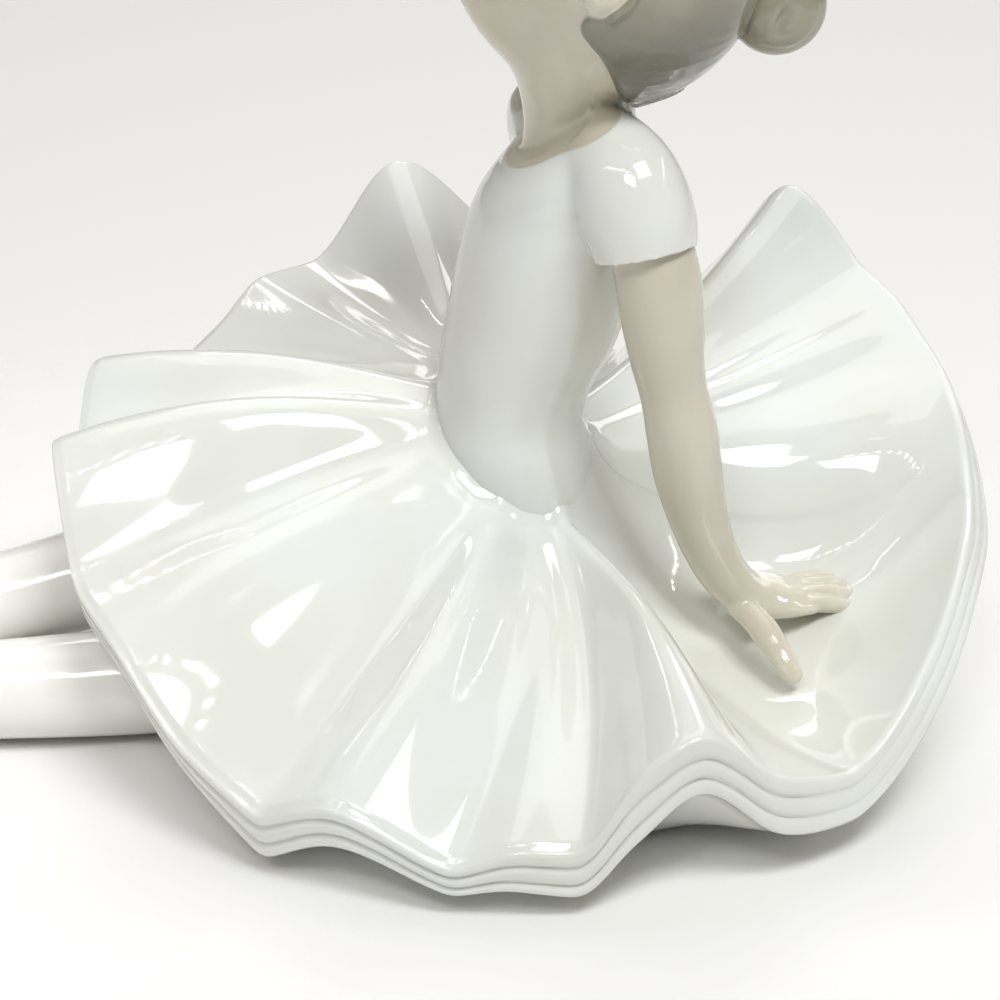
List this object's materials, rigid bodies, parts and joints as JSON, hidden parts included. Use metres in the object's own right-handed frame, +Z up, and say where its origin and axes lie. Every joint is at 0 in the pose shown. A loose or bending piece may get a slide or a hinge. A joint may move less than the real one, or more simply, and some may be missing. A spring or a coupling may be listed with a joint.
{
  "type": "ballerina figurine",
  "caption": "Glossy porcelain figurine of a young ballerina sitting on the floor, leaning back on one hand, head tipped back, with a wide fluted tutu spread all round her.",
  "frame": {"origin": "on the floor, at the middle of the flat round foot under the skirt, below her waist", "axes": "+Z up, her legs point along -X, her left side is towards -Y"},
  "size_m": [0.1836, 0.1258, 0.1275],
  "materials": {
    "glazed_porcelain": "high-gloss clear glaze over white body, with warm beige-grey skin and taupe hair tints"
  },
  "bodies": {
    "root": {"ballerina_figurine": "glazed_porcelain"}
  },
  "joints": []
}
